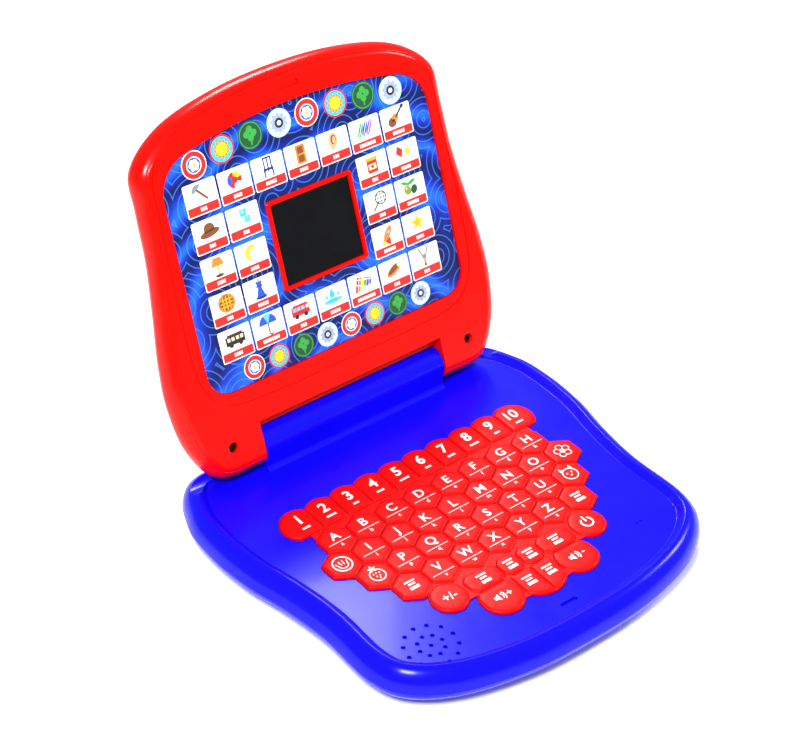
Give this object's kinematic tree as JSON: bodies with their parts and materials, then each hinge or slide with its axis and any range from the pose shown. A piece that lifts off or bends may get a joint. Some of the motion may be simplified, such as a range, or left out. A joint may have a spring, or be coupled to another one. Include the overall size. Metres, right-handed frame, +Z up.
{
  "type": "toy laptop computer",
  "caption": "Toy laptop: a clamshell case with a rubber keypad of hexagonal keys in its base, and a picture board with a small screen in its hinged lid.",
  "frame": {"origin": "on the surface that the toy rests on, under the middle of its box", "axes": "+X to the user's right, +Y from the user towards the hinge and the lid, +Z up"},
  "size_m": [0.2398, 0.2789, 0.2146],
  "materials": {
    "blue_case": "moulded gloss ABS, deep blue",
    "red_case": "moulded gloss ABS, bright red",
    "red_rubber": "moulded satin silicone, red, with white printing",
    "foot_rubber": "matt black rubber",
    "printed_board": null,
    "screen": "polished black acrylic",
    "board": "glass-filled epoxy circuit board",
    "black_plastic": "matt black plastic and card",
    "battery_jacket": "printed metal jacket, plain gold",
    "steel": "zinc-plated steel",
    "wire": "PVC-insulated wire bundle"
  },
  "bodies": {
    "base": {"deck_shell": "blue_case", "base_tray": "blue_case", "keypad_mat": "red_rubber", "mode_keys": "red_rubber", "key_board": "board", "speaker": "black_plastic", "batteries": "battery_jacket", "battery_contacts": "steel", "rubber_feet": "foot_rubber", "base_screws": "steel", "base_wires": "wire"},
    "lid": {"hinge_pins": "steel", "lid_bezel": "red_case", "lid_back": "red_case", "picture_panel": "printed_board", "screen_lens": "screen", "lcd_module": "board", "lid_screws": "steel", "lid_wires": "wire"},
    "battery_door": {"battery_door": "blue_case", "door_screw": "steel"},
    "key_1": {"key_1": "red_rubber"},
    "key_2": {"key_2": "red_rubber"},
    "key_3": {"key_3": "red_rubber"},
    "key_4": {"key_4": "red_rubber"},
    "key_5": {"key_5": "red_rubber"},
    "key_6": {"key_6": "red_rubber"},
    "key_7": {"key_7": "red_rubber"},
    "key_8": {"key_8": "red_rubber"},
    "key_9": {"key_9": "red_rubber"},
    "key_10": {"key_10": "red_rubber"},
    "key_a": {"key_a": "red_rubber"},
    "key_b": {"key_b": "red_rubber"},
    "key_c": {"key_c": "red_rubber"},
    "key_d": {"key_d": "red_rubber"},
    "key_e": {"key_e": "red_rubber"},
    "key_f": {"key_f": "red_rubber"},
    "key_g": {"key_g": "red_rubber"},
    "key_h": {"key_h": "red_rubber"},
    "key_i": {"key_i": "red_rubber"},
    "key_j": {"key_j": "red_rubber"},
    "key_k": {"key_k": "red_rubber"},
    "key_l": {"key_l": "red_rubber"},
    "key_m": {"key_m": "red_rubber"},
    "key_n": {"key_n": "red_rubber"},
    "key_o": {"key_o": "red_rubber"},
    "key_p": {"key_p": "red_rubber"},
    "key_q": {"key_q": "red_rubber"},
    "key_r": {"key_r": "red_rubber"},
    "key_s": {"key_s": "red_rubber"},
    "key_t": {"key_t": "red_rubber"},
    "key_u": {"key_u": "red_rubber"},
    "key_v": {"key_v": "red_rubber"},
    "key_w": {"key_w": "red_rubber"},
    "key_x": {"key_x": "red_rubber"},
    "key_y": {"key_y": "red_rubber"},
    "key_z": {"key_z": "red_rubber"},
    "key_power": {"key_power": "red_rubber"},
    "key_volume_up": {"key_volume_up": "red_rubber"},
    "key_volume_down": {"key_volume_down": "red_rubber"}
  },
  "joints": [
    {"name": "lid_hinge", "type": "hinge", "parent": "base", "child": "lid", "pos_m": [0, 0.0622, 0.0358], "axis": [1, 0, 0], "range_deg": [0, 112]},
    {"name": "battery_door_hinge", "type": "hinge", "parent": "base", "child": "battery_door", "pos_m": [0, 0.0586, 0.0027], "axis": [1, 0, 0], "range_deg": [0, 75]},
    {"name": "key_1_press", "type": "slide", "parent": "base", "child": "key_1", "axis": [0, 0, -1], "range_m": [0, 0.001], "stiffness_N_per_m": 800},
    {"name": "key_2_press", "type": "slide", "parent": "base", "child": "key_2", "axis": [0, 0, -1], "range_m": [0, 0.001], "stiffness_N_per_m": 800},
    {"name": "key_3_press", "type": "slide", "parent": "base", "child": "key_3", "axis": [0, 0, -1], "range_m": [0, 0.001], "stiffness_N_per_m": 800},
    {"name": "key_4_press", "type": "slide", "parent": "base", "child": "key_4", "axis": [0, 0, -1], "range_m": [0, 0.001], "stiffness_N_per_m": 800},
    {"name": "key_5_press", "type": "slide", "parent": "base", "child": "key_5", "axis": [0, 0, -1], "range_m": [0, 0.001], "stiffness_N_per_m": 800},
    {"name": "key_6_press", "type": "slide", "parent": "base", "child": "key_6", "axis": [0, 0, -1], "range_m": [0, 0.001], "stiffness_N_per_m": 800},
    {"name": "key_7_press", "type": "slide", "parent": "base", "child": "key_7", "axis": [0, 0, -1], "range_m": [0, 0.001], "stiffness_N_per_m": 800},
    {"name": "key_8_press", "type": "slide", "parent": "base", "child": "key_8", "axis": [0, 0, -1], "range_m": [0, 0.001], "stiffness_N_per_m": 800},
    {"name": "key_9_press", "type": "slide", "parent": "base", "child": "key_9", "axis": [0, 0, -1], "range_m": [0, 0.001], "stiffness_N_per_m": 800},
    {"name": "key_10_press", "type": "slide", "parent": "base", "child": "key_10", "axis": [0, 0, -1], "range_m": [0, 0.001], "stiffness_N_per_m": 800},
    {"name": "key_a_press", "type": "slide", "parent": "base", "child": "key_a", "axis": [0, 0, -1], "range_m": [0, 0.001], "stiffness_N_per_m": 800},
    {"name": "key_b_press", "type": "slide", "parent": "base", "child": "key_b", "axis": [0, 0, -1], "range_m": [0, 0.001], "stiffness_N_per_m": 800},
    {"name": "key_c_press", "type": "slide", "parent": "base", "child": "key_c", "axis": [0, 0, -1], "range_m": [0, 0.001], "stiffness_N_per_m": 800},
    {"name": "key_d_press", "type": "slide", "parent": "base", "child": "key_d", "axis": [0, 0, -1], "range_m": [0, 0.001], "stiffness_N_per_m": 800},
    {"name": "key_e_press", "type": "slide", "parent": "base", "child": "key_e", "axis": [0, 0, -1], "range_m": [0, 0.001], "stiffness_N_per_m": 800},
    {"name": "key_f_press", "type": "slide", "parent": "base", "child": "key_f", "axis": [0, 0, -1], "range_m": [0, 0.001], "stiffness_N_per_m": 800},
    {"name": "key_g_press", "type": "slide", "parent": "base", "child": "key_g", "axis": [0, 0, -1], "range_m": [0, 0.001], "stiffness_N_per_m": 800},
    {"name": "key_h_press", "type": "slide", "parent": "base", "child": "key_h", "axis": [0, 0, -1], "range_m": [0, 0.001], "stiffness_N_per_m": 800},
    {"name": "key_i_press", "type": "slide", "parent": "base", "child": "key_i", "axis": [0, 0, -1], "range_m": [0, 0.001], "stiffness_N_per_m": 800},
    {"name": "key_j_press", "type": "slide", "parent": "base", "child": "key_j", "axis": [0, 0, -1], "range_m": [0, 0.001], "stiffness_N_per_m": 800},
    {"name": "key_k_press", "type": "slide", "parent": "base", "child": "key_k", "axis": [0, 0, -1], "range_m": [0, 0.001], "stiffness_N_per_m": 800},
    {"name": "key_l_press", "type": "slide", "parent": "base", "child": "key_l", "axis": [0, 0, -1], "range_m": [0, 0.001], "stiffness_N_per_m": 800},
    {"name": "key_m_press", "type": "slide", "parent": "base", "child": "key_m", "axis": [0, 0, -1], "range_m": [0, 0.001], "stiffness_N_per_m": 800},
    {"name": "key_n_press", "type": "slide", "parent": "base", "child": "key_n", "axis": [0, 0, -1], "range_m": [0, 0.001], "stiffness_N_per_m": 800},
    {"name": "key_o_press", "type": "slide", "parent": "base", "child": "key_o", "axis": [0, 0, -1], "range_m": [0, 0.001], "stiffness_N_per_m": 800},
    {"name": "key_p_press", "type": "slide", "parent": "base", "child": "key_p", "axis": [0, 0, -1], "range_m": [0, 0.001], "stiffness_N_per_m": 800},
    {"name": "key_q_press", "type": "slide", "parent": "base", "child": "key_q", "axis": [0, 0, -1], "range_m": [0, 0.001], "stiffness_N_per_m": 800},
    {"name": "key_r_press", "type": "slide", "parent": "base", "child": "key_r", "axis": [0, 0, -1], "range_m": [0, 0.001], "stiffness_N_per_m": 800},
    {"name": "key_s_press", "type": "slide", "parent": "base", "child": "key_s", "axis": [0, 0, -1], "range_m": [0, 0.001], "stiffness_N_per_m": 800},
    {"name": "key_t_press", "type": "slide", "parent": "base", "child": "key_t", "axis": [0, 0, -1], "range_m": [0, 0.001], "stiffness_N_per_m": 800},
    {"name": "key_u_press", "type": "slide", "parent": "base", "child": "key_u", "axis": [0, 0, -1], "range_m": [0, 0.001], "stiffness_N_per_m": 800},
    {"name": "key_v_press", "type": "slide", "parent": "base", "child": "key_v", "axis": [0, 0, -1], "range_m": [0, 0.001], "stiffness_N_per_m": 800},
    {"name": "key_w_press", "type": "slide", "parent": "base", "child": "key_w", "axis": [0, 0, -1], "range_m": [0, 0.001], "stiffness_N_per_m": 800},
    {"name": "key_x_press", "type": "slide", "parent": "base", "child": "key_x", "axis": [0, 0, -1], "range_m": [0, 0.001], "stiffness_N_per_m": 800},
    {"name": "key_y_press", "type": "slide", "parent": "base", "child": "key_y", "axis": [0, 0, -1], "range_m": [0, 0.001], "stiffness_N_per_m": 800},
    {"name": "key_z_press", "type": "slide", "parent": "base", "child": "key_z", "axis": [0, 0, -1], "range_m": [0, 0.001], "stiffness_N_per_m": 800},
    {"name": "key_power_press", "type": "slide", "parent": "base", "child": "key_power", "axis": [0, 0, -1], "range_m": [0, 0.001], "stiffness_N_per_m": 800},
    {"name": "key_volume_up_press", "type": "slide", "parent": "base", "child": "key_volume_up", "axis": [0, 0, -1], "range_m": [0, 0.001], "stiffness_N_per_m": 800},
    {"name": "key_volume_down_press", "type": "slide", "parent": "base", "child": "key_volume_down", "axis": [0, 0, -1], "range_m": [0, 0.001], "stiffness_N_per_m": 800}
  ]
}
